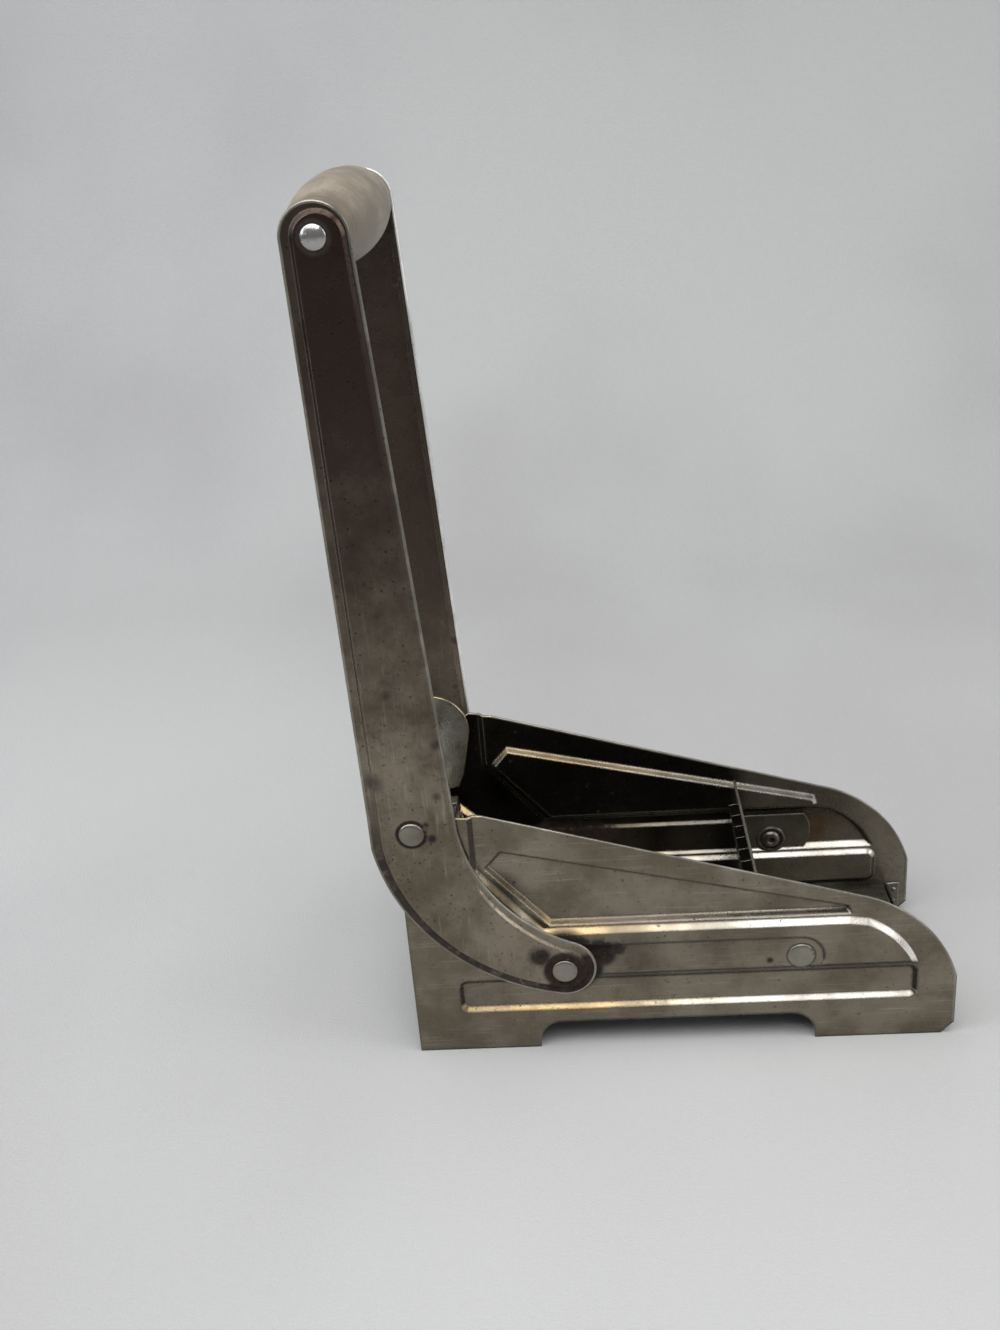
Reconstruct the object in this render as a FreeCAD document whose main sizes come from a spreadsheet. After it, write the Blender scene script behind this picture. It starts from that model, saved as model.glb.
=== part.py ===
import FreeCAD, Part
import math
import os
import re

# Lever french fry cutter: stamped steel body, forked lever, hanging pusher and fixed blade grid.
# Frame: +X is the front, where the fries come out, +Y the far side, +Z up.
# The origin is the middle of the whole tool's footprint, on the table.

V = FreeCAD.Vector
doc = FreeCAD.newDocument("fry_cutter")

# Driving sizes, in millimetres and degrees. X positions are measured from the body's back edge.
SIZES = {
    "body_length": 247.0,
    "body_width": 100.0,
    "sheet": 1.0,
    "sheet_grow": 0.6,
    "top_rear_x": 38.0,
    "top_rear_z": 125.5,
    "top_rear_rise": 1.0,
    "nose_top_x": 208.0,
    "nose_top_z": 75.0,
    "nose_front_z": 32.0,
    "nose_bulge": 7.0,
    "toe_chamfer": 6.0,
    "arch_start": 57.0,
    "arch_end": 184.0,
    "arch_height": 14.0,
    "arch_radius": 11.0,
    "foot_flange": 8.0,
    "foot_flange_margin": 3.0,
    "panel_step": 1.4,
    "zone_step": 2.4,
    "band_step": 2.0,
    "arm_step": 1.4,
    "panel_depth": 3.0,
    "zone_rise": 2.5,
    "pad_depth": 1.2,
    "pad_step": 0.8,
    "band_depth": 2.0,
    "panel_top_x": 45.0,
    "panel_top_z": 107.0,
    "panel_nose_x": 198.0,
    "panel_nose_z": 71.5,
    "panel_left_x": 37.5,
    "panel_left_z": 98.5,
    "ridge_x": 62.0,
    "ridge_width": 3.0,
    "rib_z": 66.0,
    "band_start": 21.0,
    "band_end": 229.5,
    "band_bottom_z": 21.0,
    "band_top_z": 38.5,
    "band_corner": 4.0,
    "zone_left_x": 4.0,
    "zone_left_z": 84.0,
    "zone_foot_x": 53.0,
    "zone_gap": 1.3,
    "pad_radius": 10.5,
    "pad_root_radius": 14.0,
    "pivot_x": 70.6,
    "pivot_z": 47.2,
    "rod_x": 8.2,
    "rod_z": 121.5,
    "grip_x": 0.4,
    "grip_z": 374.0,
    "lever_travel": 88.0,
    "arm_sheet": 1.5,
    "arm_gap": 0.7,
    "arm_rise": 1.5,
    "arm_top_radius": 12.3,
    "arm_end_radius": 13.6,
    "arm_back_x": -9.7,
    "arm_back_z": 114.0,
    "arm_front_x": 27.2,
    "arm_front_z": 121.0,
    "arm_back_sag": 17.5,
    "arm_front_sag": 10.5,
    "arm_back_rim": 3.4,
    "arm_front_rim": 0.9,
    "arm_bend_z": 130.0,
    "arm_splay": 3.2,
    "grip_radius": 17.5,
    "grip_end_radius": 11.8,
    "grip_gap": 0.55,
    "running_gap": 0.05,
    "side_gap": 0.3,
    "grip_rod_radius": 3.0,
    "grip_head_radius": 4.8,
    "dome_height": 1.6,
    "rod_radius": 3.5,
    "rod_head_radius": 5.6,
    "spacer_radius": 5.0,
    "spacer_clearance": 1.5,
    "pivot_radius": 3.0,
    "pivot_head_radius": 5.6,
    "washer_radius": 7.5,
    "head_height": 1.2,
    "tail_height": 1.5,
    "tail_radius": 4.6,
    "grid_x": 162.5,
    "grid_z": 53.5,
    "grid_lean": 8.0,
    "cell": 10.4,
    "rows": 5,
    "blade_thickness": 0.6,
    "blade_depth": 6.0,
    "blade_back": 5.0,
    "frame_sheet": 1.2,
    "frame_border": 5.5,
    "frame_gap": 0.3,
    "frame_side": 4.0,
    "tab_end_x": 194.0,
    "tab_bottom_z": 42.5,
    "tab_top_z": 61.5,
    "tab_rivet_x": 177.0,
    "tab_rivet_z": 47.0,
    "tab_rivet_radius": 2.6,
    "tab_rivet_head": 6.2,
    "lug_radius": 19.0,
    "lug_sheet": 1.5,
    "lug_gap": 1.0,
    "lug_tip_x": 19.5,
    "lug_tip_z": 89.8,
    "lug_side_x": 22.6,
    "lug_side_z": 97.0,
    "lug_waist_z": 98.0,
    "web_height": 54.0,
    "face_plate": 2.0,
    "stud_height": 4.0,
    "stud_width": 7.4,
    "end_gap": 0.8,
    "face_rivet_radius": 1.4,
    "face_rivet_head": 3.2,
    "tray_top_z": 20.0,
    "tray_start": 3.0,
    "tray_setback": 13.0,
    "tray_flange": 5.5,
    "back_plate_x": 0.5,
    "back_flange": 11.0,
    "back_plate_top": 58.0,
    "stop_gap": 0.4,
    "brace_setback": 11.0,
    "brace_bottom_z": 3.0,
    "brace_top_z": 18.0,
    "brace_flange": 7.0,
}

sheet = doc.addObject("Spreadsheet::Sheet", "Sizes")
for row, (alias, value) in enumerate(SIZES.items(), start=1):
    sheet.set(f"A{row}", alias)
    sheet.set(f"B{row}", str(value))
    sheet.setAlias(f"B{row}", alias)
doc.recompute()


def size(alias):
    """One driving size, read from the sheet."""
    return float(getattr(sheet, alias))


# Levels across the tool, measured from its middle plane to the outer faces of the far side's sheets.
margin = size("body_width") / 2
panel_level = margin - size("panel_depth")
band_level = margin - size("band_depth")
zone_level = margin + size("zone_rise")
pad_level = zone_level - size("pad_depth")
arm_inner = zone_level + size("arm_gap")
arm_rim_face = arm_inner + size("arm_sheet")
arm_face = arm_rim_face + size("arm_rise")
lug_level = panel_level - size("sheet") - size("lug_gap")
frame_level = panel_level - size("sheet") - size("frame_gap")

# The same levels as formulas for the pieces that are bound to the sheet.
MARGIN = "(body_width / 2)"
WALL_INSIDE = "(body_width / 2 - sheet)"
PAD = "(body_width / 2 + zone_rise - pad_depth)"
ARM_SEAT = "(body_width / 2 + zone_rise + arm_gap + arm_rise)"
ARM_FACE = "(body_width / 2 + zone_rise + arm_gap + arm_rise + arm_sheet)"
LUG_LEVEL = "(body_width / 2 - panel_depth - sheet - lug_gap)"
ORIGIN = "(body_length + grip_x - grip_radius) / 2"

# The tool's middle, measured from the body's back edge: half way from the grip's back to the nose.
origin_x = (size("body_length") + size("grip_x") - size("grip_radius")) / 2

# The lever turns about the pivot; the rod that carries the pusher runs round it on a circle.
pivot = (size("pivot_x"), size("pivot_z"))
rod = (size("rod_x"), size("rod_z"))
grip = (size("grip_x"), size("grip_z"))
tab_rivet = (size("tab_rivet_x"), size("tab_rivet_z"))
rod_path = math.dist(pivot, rod)
rod_end = math.atan2(rod[1] - pivot[1], rod[0] - pivot[0]) - math.radians(size("lever_travel"))
stroke = (
    pivot[0] + rod_path * math.cos(rod_end) - rod[0],
    pivot[1] + rod_path * math.sin(rod_end) - rod[1],
)

# The blade grid leans back at its top, and the pusher's face is parallel to it.
lean = math.radians(size("grid_lean"))
up = (-math.sin(lean), math.cos(lean))
forward = (math.cos(lean), math.sin(lean))
grid = (size("grid_x"), size("grid_z"))
columns = int((frame_level - size("frame_side")) * 2 / size("cell"))
rows = int(size("rows"))
grid_width = columns * size("cell")
grid_height = rows * size("cell")
face_to_grid = size("blade_back") + size("end_gap") + size("stud_height")
push_face = (
    grid[0] - forward[0] * face_to_grid - stroke[0],
    grid[1] - forward[1] * face_to_grid - stroke[1],
)


def at(x, z, y=0.0):
    """A point in the tool's frame from a place measured off the back edge."""
    return V(x - origin_x, y, z)


def path(steps):
    """Segments (start, middle of an arc or None, end). A step is a corner, or (middle, end)."""
    segments = []
    here = steps[0]
    for step in steps[1:] + [steps[0]]:
        through, end = step if isinstance(step[0], tuple) else (None, step)
        if math.dist(here, end) > 1e-6:
            segments.append((here, through, end))
        here = end
    return segments


def wire(segments, y=0.0):
    """A closed wire in an XZ plane."""
    edges = []
    for start, through, end in segments:
        a, b = at(*start, y), at(*end, y)
        curve = Part.LineSegment(a, b) if through is None else Part.Arc(a, at(*through, y), b)
        edges.append(curve.toShape())
    return Part.Wire(edges)


def prism(segments, low, high):
    """A solid from an outline in the XZ plane, between two levels along Y."""
    return Part.Face(wire(segments, low)).extrude(V(0, high - low, 0))


def normals(segment):
    """The left-hand normals of a segment at its start, middle and end."""
    (ax, az), through, (cx, cz) = segment
    if through is None:
        length = math.dist((ax, az), (cx, cz))
        normal = ((az - cz) / length, (cx - ax) / length)
        return normal, normal, normal
    bx, bz = through
    turn = 2 * (ax * (bz - cz) + bx * (cz - az) + cx * (az - bz))
    a2, b2, c2 = ax * ax + az * az, bx * bx + bz * bz, cx * cx + cz * cz
    ux = (a2 * (bz - cz) + b2 * (cz - az) + c2 * (az - bz)) / turn
    uz = (a2 * (cx - bx) + b2 * (ax - cx) + c2 * (bx - ax)) / turn
    sense = -math.copysign(1, turn) / math.dist((ax, az), (ux, uz))
    return tuple(((x - ux) * sense, (z - uz) * sense) for x, z in ((ax, az), (bx, bz), (cx, cz)))


def inset(segments, depth):
    """The outline moved inwards by depth, segment for segment; outwards if depth is negative."""
    area = sum(a[0] * b[1] - b[0] * a[1] for a, through, b in segments)
    reach = math.copysign(depth, area * depth) if depth else 0.0
    sides = [normals(segment) for segment in segments]
    corners = []
    for (start, through, end), before, after in zip(segments, sides[-1:] + sides[:-1], sides):
        nx, nz = before[2][0] + after[0][0], before[2][1] + after[0][1]
        share = reach / (1 + before[2][0] * after[0][0] + before[2][1] * after[0][1])
        corners.append((start[0] + nx * share, start[1] + nz * share))
    moved = []
    for (start, through, end), side, a, b in zip(segments, sides, corners, corners[1:] + corners[:1]):
        if through is not None:
            through = (through[0] + side[1][0] * reach, through[1] + side[1][1] * reach)
        moved.append((a, through, b))
    return moved


def step(segments, wide, narrow, width):
    """A solid that narrows by width from the level wide to the level narrow, as stamped steps do."""
    return Part.makeLoft([wire(segments, wide), wire(inset(segments, width), narrow)], True, True)


def bulge(a, b, sag):
    """The middle of an arc from a to b that stands off its chord to the left by sag."""
    length = math.dist(a, b)
    return (
        (a[0] + b[0]) / 2 - (b[1] - a[1]) / length * sag,
        (a[1] + b[1]) / 2 + (b[0] - a[0]) / length * sag,
    )


def cylinder_y(centre, radius, low, high):
    """A round bar along Y between two levels."""
    return Part.makeCylinder(radius, high - low, at(*centre, low), V(0, 1, 0))


def cap(base, direction, radius, height):
    """A domed head on a base point."""
    ball = (radius**2 + height**2) / (2 * height)
    sphere = Part.makeSphere(ball, base - direction * (ball - height))
    return sphere.common(Part.makeCylinder(radius + 1, height + 1, base, direction))


def leaning(shape, place):
    """A shape made round the origin, facing +X, moved to a place and leaned back with the grid."""
    moved = shape.copy()
    moved.rotate(V(0, 0, 0), V(0, 1, 0), -size("grid_lean"))
    moved.translate(at(*place))
    return moved


def brick(x, y, z):
    """A box from three (low, high) pairs, round the origin."""
    return Part.makeBox(x[1] - x[0], y[1] - y[0], z[1] - z[0], V(x[0], y[0], z[0]))


def feature(label, shape):
    """A sub-part whose shape needs Part's functions."""
    obj = doc.addObject("Part::Feature", label)
    obj.Shape = shape
    return obj


def bind(obj, prop, formula):
    """Bind a property to a formula of the sheet's sizes."""
    obj.setExpression(prop, re.sub(r"[a-z_]+", lambda match: "Sizes." + match.group(), formula))


def bar(name, centre, radius, low, high):
    """A round bar along Y, bound to the sheet."""
    obj = doc.addObject("Part::Cylinder", name)
    obj.Placement = FreeCAD.Placement(V(0, 0, 0), FreeCAD.Rotation(V(1, 0, 0), -90))
    bind(obj, "Radius", radius)
    bind(obj, "Height", f"({high}) - ({low})")
    bind(obj, "Placement.Base.x", f"{centre}_x - {ORIGIN}")
    bind(obj, "Placement.Base.y", low)
    bind(obj, "Placement.Base.z", f"{centre}_z")
    return obj


def box(name, x, y, z):
    """A box bound to the sheet, from three (low, high) pairs of formulas."""
    obj = doc.addObject("Part::Box", name)
    for prop, axis, (low, high), shift in (
        ("Length", "x", x, f" - {ORIGIN}"),
        ("Width", "y", y, ""),
        ("Height", "z", z, ""),
    ):
        bind(obj, prop, f"({high}) - ({low})")
        bind(obj, f"Placement.Base.{axis}", f"({low}){shift}")
    return obj


def union(label, pieces):
    obj = doc.addObject("Part::MultiFuse", label)
    obj.Shapes = pieces
    obj.Refine = True
    return obj


def tube(label, centre, radius, bore, low, high):
    """A ring along Y, bound to the sheet."""
    obj = doc.addObject("Part::Cut", label)
    obj.Base = bar(label + "_outside", centre, radius, low, high)
    obj.Tool = bar(label + "_bore", centre, bore, low, high)
    return obj


def mirrored(label, source):
    """The near side's piece: the far one mirrored through the middle plane."""
    obj = doc.addObject("Part::Mirroring", label)
    obj.Source = source
    obj.Normal = V(0, 1, 0)
    return obj


def wall_outline():
    """The side wall: back edge, round cut for the rod, sloping top, nose, feet and arch."""
    cut_radius = rod_path - size("spacer_radius") - size("spacer_clearance")
    cut_low = (0.0, pivot[1] + math.sqrt(cut_radius**2 - pivot[0] ** 2))
    high = size("top_rear_z") + size("top_rear_rise")
    cut_high = (pivot[0] - math.sqrt(cut_radius**2 - (high - pivot[1]) ** 2), high)
    angles = [math.atan2(p[1] - pivot[1], p[0] - pivot[0]) for p in (cut_low, cut_high)]
    half = sum(angles) / 2
    cut_middle = (pivot[0] + cut_radius * math.cos(half), pivot[1] + cut_radius * math.sin(half))
    nose_top = (size("nose_top_x"), size("nose_top_z"))
    nose_front = (size("body_length"), size("nose_front_z"))
    toe = size("toe_chamfer")
    radius = size("arch_radius")
    corner = radius * (1 - math.sqrt(0.5))
    start, end, top = size("arch_start"), size("arch_end"), size("arch_height")
    return path([
        (0.0, 0.0),
        cut_low,
        (cut_middle, cut_high),
        (size("top_rear_x"), size("top_rear_z")),
        nose_top,
        (bulge(nose_top, nose_front, size("nose_bulge")), nose_front),
        (size("body_length"), toe),
        (size("body_length") - toe, 0.0),
        (end, 0.0),
        (end, top - radius),
        ((end - corner, top - corner), (end - radius, top)),
        (start + radius, top),
        ((start + corner, top - corner), (start, top - radius)),
        (start, 0.0),
    ])


def panel_outline():
    """The long sunk panel below the sloping top edge."""
    low = size("rib_z") + size("zone_gap")
    return path([
        (size("panel_left_x"), size("panel_left_z")),
        (size("panel_top_x"), size("panel_top_z")),
        (size("panel_nose_x"), size("panel_nose_z")),
        (size("panel_nose_x") + size("zone_gap"), low),
        (size("ridge_x") + size("ridge_width"), low),
    ])


def zone_outline():
    """The raised zone that holds the pivot and the grid's rivet, and its rise at the back."""
    low = size("band_top_z") + size("zone_gap")
    nose = (size("nose_top_x") - size("zone_gap"), size("rib_z") - size("zone_gap"))
    front = (size("band_end"), low)
    ridge_x = size("panel_left_x") - size("ridge_width")
    beyond = size("top_rear_z") + size("arch_radius")
    return path([
        (size("zone_foot_x"), low),
        (size("zone_left_x"), size("zone_left_z")),
        (size("zone_left_x"), beyond),
        (ridge_x, beyond),
        (ridge_x, size("panel_left_z")),
        (size("ridge_x"), size("rib_z")),
        (size("panel_nose_x"), size("rib_z")),
        nose,
        (bulge(nose, front, size("nose_bulge") / 2), front),
    ])


def pad_outline():
    """The flat pad round the lever's pivot and the grid's rivet."""
    radius, root = size("pad_radius"), size("pad_root_radius")
    low = pivot[1] - radius
    return path([
        (pivot[0], pivot[1] + radius),
        (tab_rivet[0], tab_rivet[1] + radius),
        ((tab_rivet[0] + radius, tab_rivet[1]), (tab_rivet[0], tab_rivet[1] - radius)),
        (pivot[0] + root, low),
        (pivot[0] - root / 2, low),
        ((pivot[0] - root, pivot[1] + size("pad_depth")), (pivot[0], pivot[1] + radius)),
    ])


def band_outline():
    """The sunk band along the bottom, with round corners."""
    x0, x1 = size("band_start"), size("band_end")
    z0, z1, radius = size("band_bottom_z"), size("band_top_z"), size("band_corner")
    corner = radius * (1 - math.sqrt(0.5))
    return path([
        (x0, z0 + radius),
        (x0, z1 - radius),
        ((x0 + corner, z1 - corner), (x0 + radius, z1)),
        (x1 - radius, z1),
        ((x1 - corner, z1 - corner), (x1, z1 - radius)),
        (x1, z0 + radius),
        ((x1 - corner, z0 + corner), (x1 - radius, z0)),
        (x0 + radius, z0),
        ((x0 + corner, z0 + corner), (x0, z0 + radius)),
    ])


def wall_block(drop, grow):
    """The wall's outer form as a solid down to the middle plane, lowered by drop."""
    block = prism(wall_outline(), 0, margin - drop)
    zone = step(inset(zone_outline(), grow), margin - drop, zone_level - drop, size("zone_step"))
    block = block.fuse(zone.common(prism(wall_outline(), 0, zone_level)))
    for outline, wide, narrow, run in (
        (panel_outline(), margin, panel_level, size("panel_step")),
        (band_outline(), margin, band_level, size("band_step")),
        (pad_outline(), zone_level, pad_level, size("pad_step")),
    ):
        block = block.cut(step(inset(outline, -grow), wide - drop, narrow - drop, run))
    return block


def side_wall():
    """The far wall: a stamped sheet with turned-in feet and the two rivet holes."""
    wall = wall_block(0, 0).cut(wall_block(size("sheet"), size("sheet_grow"))).removeSplitter()
    edge = size("foot_flange_margin")
    for start, end in (
        (0.0, size("arch_start")),
        (size("arch_end"), size("body_length") - size("toe_chamfer")),
    ):
        flange = Part.makeBox(
            end - start - 2 * edge,
            size("foot_flange") + size("sheet"),
            size("sheet"),
            at(start + edge, 0, margin - size("sheet") - size("foot_flange")),
        )
        wall = wall.fuse(flange)
    for centre, radius in ((pivot, size("pivot_radius")), (tab_rivet, size("tab_rivet_radius"))):
        wall = wall.cut(cylinder_y(centre, radius + size("running_gap"), 0, arm_inner))
    return wall.removeSplitter()


def arm_outline(back_rim, front_rim):
    """The lever arm: straight and tapering above the bend, curved forward to the pivot below it."""
    end = size("arm_end_radius") - back_rim
    left, right = grip[0] - size("arm_top_radius"), grip[0] + size("arm_top_radius")
    left, right = left + back_rim, right - front_rim
    back = (size("arm_back_x") + back_rim, size("arm_back_z") + back_rim / 4)
    low = (pivot[0] - end * 0.3, pivot[1] - end * math.sqrt(1 - 0.09))
    high = (pivot[0] + end * 0.3, pivot[1] + end * math.sqrt(1 - 0.09))
    front = (size("arm_front_x") - front_rim, size("arm_front_z"))
    return path([
        (left, grip[1]),
        (((left + right) / 2, grip[1] + (right - left) / 2), (right, grip[1])),
        front,
        (bulge(front, high, -size("arm_front_sag")), high),
        ((pivot[0] + end, pivot[1]), low),
        (bulge(low, back, size("arm_back_sag")), back),
    ])


def arm_block(drop, grow):
    """The arm's outer form as a solid reaching inwards, lowered by drop."""
    block = prism(arm_outline(0, 0), margin - size("arm_sheet"), arm_rim_face - drop)
    raised = inset(arm_outline(size("arm_back_rim"), size("arm_front_rim")), grow)
    return block.fuse(step(raised, arm_rim_face - drop, arm_face - drop, size("arm_step")))


def lever_arm():
    """The far arm: a stamped strip with a proud middle, splayed outwards above the bend."""
    arm = arm_block(0, 0).cut(arm_block(size("arm_sheet"), size("sheet_grow")))
    arm = arm.cut(prism(inset(arm_outline(0, 0), -5), 0, arm_inner)).removeSplitter()
    bend = size("arm_bend_z")
    below = Part.makeBox(400, 400, bend, V(-200, -200, 0))
    upper = arm.cut(below)
    upper.rotate(V(0, arm_inner, bend), V(1, 0, 0), -size("arm_splay"))
    arm = arm.common(below).fuse(upper).removeSplitter()
    for centre, radius in (
        (pivot, size("pivot_radius")),
        (rod, size("rod_radius")),
        (grip, size("grip_rod_radius")),
    ):
        arm = arm.cut(cylinder_y(centre, radius + size("running_gap"), margin, 2 * margin))
    return arm


def grip_barrel():
    """The barrel grip with its bore, turned about the grip rod."""
    bore = size("grip_rod_radius") + size("running_gap")
    end = size("grip_end_radius")
    lowest = grip[1] - size("arm_top_radius") - size("arm_bend_z")
    half = arm_inner + lowest * math.tan(math.radians(size("arm_splay"))) - size("grip_gap")
    a = at(grip[0] + end, grip[1], -half)
    b = at(grip[0] + end, grip[1], half)
    c = at(grip[0] + bore, grip[1], half)
    d = at(grip[0] + bore, grip[1], -half)
    edges = [
        Part.Arc(a, at(grip[0] + size("grip_radius"), grip[1]), b).toShape(),
        Part.LineSegment(b, c).toShape(),
        Part.LineSegment(c, d).toShape(),
        Part.LineSegment(d, a).toShape(),
    ]
    return Part.Face(Part.Wire(edges)).revolve(at(*grip), V(0, 1, 0), 360)


def grip_bolt():
    """The rod through the grip, with domed heads set square on the splayed arms."""
    splay = math.radians(size("arm_splay"))
    rise = (grip[1] - size("arm_bend_z")) * math.sin(splay)
    level = arm_inner + (arm_face - arm_inner + rise) / math.cos(splay)
    head = cap(
        at(*grip, level),
        V(0, math.cos(splay), -math.sin(splay)),
        size("grip_head_radius"),
        size("dome_height"),
    )
    reach = level + size("dome_height") / 4
    bolt = cylinder_y(grip, size("grip_rod_radius"), -reach, reach)
    return bolt.fuse(head).fuse(head.mirror(V(0, 0, 0), V(0, 1, 0))).removeSplitter()


def grid_frame():
    """The leaning frame of the blade grid with its two riveted tabs."""
    thick = size("frame_sheet") / 2
    half_height = grid_height / 2 + size("frame_border")
    inside = pad_level - size("sheet")
    frame = brick((-thick, thick), (-frame_level, frame_level), (-half_height, half_height))
    low = (size("tab_bottom_z") - grid[1]) / math.cos(lean)
    high = (size("tab_top_z") - grid[1]) / math.cos(lean)
    frame = frame.fuse(brick((-thick, thick), (-inside, inside), (low, high)))
    window = (-grid_width / 2, grid_width / 2), (-grid_height / 2, grid_height / 2)
    frame = leaning(frame.cut(brick((-thick, thick), *window)), grid)
    shift = math.tan(lean)
    end = size("tab_end_x")
    bottom_x = grid[0] - (size("tab_bottom_z") - grid[1]) * shift
    top_x = grid[0] - (size("tab_top_z") - grid[1]) * shift
    middle = (size("tab_bottom_z") + size("tab_top_z")) / 2
    tab = path([
        (bottom_x, size("tab_bottom_z")),
        (top_x, size("tab_top_z")),
        (end, size("tab_top_z")),
        ((end + size("ridge_width"), middle), (end, size("tab_bottom_z"))),
    ])
    hole = size("tab_rivet_radius") + size("running_gap")
    for side in (-1, 1):
        levels = sorted((side * inside, side * (inside - size("frame_sheet"))))
        frame = frame.fuse(prism(tab, *levels))
        frame = frame.cut(cylinder_y(tab_rivet, hole, *sorted((0, side * margin * 2))))
    return frame.removeSplitter()


def blades(across):
    """Blades of the grid: upright ones, or level ones if across, notched where the others pass."""
    thick = size("blade_thickness") / 2
    notch = thick + size("running_gap")
    back, tip = -size("blade_back"), size("blade_depth") - size("blade_back")
    half = (back + tip) / 2
    slot = (back, half) if across else (half, tip)
    count, other = (rows, columns) if across else (columns, rows)
    reach = other * size("cell") / 2
    strips = []
    for i in range(1, count):
        place = (i - count / 2) * size("cell")
        long, thin = (-reach, reach), (place - thick, place + thick)
        strip = brick((back, tip), *((long, thin) if across else (thin, long)))
        for j in range(1, other):
            crossing = (j - other / 2) * size("cell")
            gap = (crossing - notch, crossing + notch)
            wide = (place - 1, place + 1)
            strip = strip.cut(brick(slot, *((gap, wide) if across else (wide, gap))))
        strips.append(leaning(strip, grid))
    return Part.makeCompound(strips)


def rivet_places():
    """The places of the face plate's rivets, between the studs."""
    side, rise = size("cell") * (columns / 2 - 1), size("cell") * (rows / 2 - 1)
    return [(y, z) for y in (-side, side) for z in (-rise, rise)]


def face_plate():
    """The pusher's face: a plate with one square stud for each cell of the grid."""
    plate = brick(
        (-size("face_plate"), 0),
        (-grid_width / 2, grid_width / 2),
        (-grid_height / 2, grid_height / 2),
    )
    studs = []
    half = size("stud_width") / 2
    for i in range(columns):
        for j in range(rows):
            y = (i + 0.5) * size("cell") - grid_width / 2
            z = (j + 0.5) * size("cell") - grid_height / 2
            studs.append(brick((-0.5, size("stud_height")), (y - half, y + half), (z - half, z + half)))
    plate = plate.multiFuse(studs)
    for y, z in rivet_places():
        hole = size("face_rivet_radius") + size("running_gap")
        plate = plate.cut(Part.makeCylinder(hole, 10, V(-5, y, z), V(1, 0, 0)))
    return leaning(plate.removeSplitter(), push_face)


def face_rivets():
    """Four flush rivets that hold the face plate on the pusher's web."""
    rivets = []
    back = -size("face_plate") - size("lug_sheet")
    for y, z in rivet_places():
        shank = Part.makeCylinder(size("face_rivet_radius"), -back, V(back, y, z), V(1, 0, 0))
        head = cap(V(back, y, z), V(-1, 0, 0), size("face_rivet_head"), size("head_height"))
        rivets.append(leaning(shank.fuse(head).removeSplitter(), push_face))
    return Part.makeCompound(rivets)


def pusher_frame():
    """The pusher's folded sheet: a leaning web and two ears that hang on the rod."""
    front = -size("face_plate")
    back = front - size("lug_sheet")
    half = size("web_height") / 2
    web = brick((back, front), (-lug_level, lug_level), (-half, half))
    for y, z in rivet_places():
        hole = size("face_rivet_radius") + size("running_gap")
        web = web.cut(Part.makeCylinder(hole, 10, V(-8, y, z), V(1, 0, 0)))
    frame = leaning(web, push_face)
    bottom = tuple(push_face[i] + forward[i] * front - up[i] * half for i in (0, 1))
    top = tuple(push_face[i] + forward[i] * front + up[i] * half for i in (0, 1))
    rear = size("back_plate_x") + size("sheet") + size("stop_gap")
    radius = size("lug_radius")
    turn = math.radians(12)
    ear = path([
        bottom,
        top,
        (size("lug_tip_x"), size("lug_tip_z")),
        (size("lug_side_x"), size("lug_side_z")),
        (rod[0] + radius * math.cos(turn), rod[1] - radius * math.sin(turn)),
        ((rod[0], rod[1] + radius), (rod[0] - radius, rod[1])),
        (rear, size("lug_waist_z")),
        (rear, bottom[1]),
    ])
    for side in (-1, 1):
        levels = sorted((side * lug_level, side * (lug_level - size("lug_sheet"))))
        frame = frame.fuse(prism(ear, *levels))
    hole = size("rod_radius") + size("running_gap")
    return frame.cut(cylinder_y(rod, hole, -margin, margin)).removeSplitter()


far_wall = feature("far_side_wall", side_wall())
far_arm = feature("far_lever_arm", lever_arm())

across = (f"-{WALL_INSIDE}", WALL_INSIDE)
far_skin = (f"{WALL_INSIDE} - sheet", WALL_INSIDE)
near_skin = (f"-{WALL_INSIDE}", f"sheet - {WALL_INSIDE}")

tray_x = ("tray_start", "body_length - tray_setback")
tray_z = ("tray_top_z - tray_flange", "tray_top_z")
tray = union("floor_tray", [
    box("tray_floor", tray_x, across, ("tray_top_z - sheet", "tray_top_z")),
    box("tray_far_flange", tray_x, far_skin, tray_z),
    box("tray_near_flange", tray_x, near_skin, tray_z),
])

plate_x = ("back_plate_x", "back_plate_x + sheet")
plate_z = ("tray_top_z", "back_plate_top")
flange_x = ("back_plate_x", "back_plate_x + back_flange")
back_plate = union("back_plate", [
    box("back_web", plate_x, across, plate_z),
    box("back_far_flange", flange_x, far_skin, plate_z),
    box("back_near_flange", flange_x, near_skin, plate_z),
])

brace_z = ("brace_bottom_z", "brace_top_z")
BRACE_X = "(body_length - brace_setback)"
lip_x = (BRACE_X, f"{BRACE_X} + brace_flange")
brace = union("front_brace", [
    box("brace_web", (BRACE_X, f"{BRACE_X} + sheet"), across, brace_z),
    box("brace_far_flange", lip_x, far_skin, brace_z),
    box("brace_near_flange", lip_x, near_skin, brace_z),
])

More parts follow.
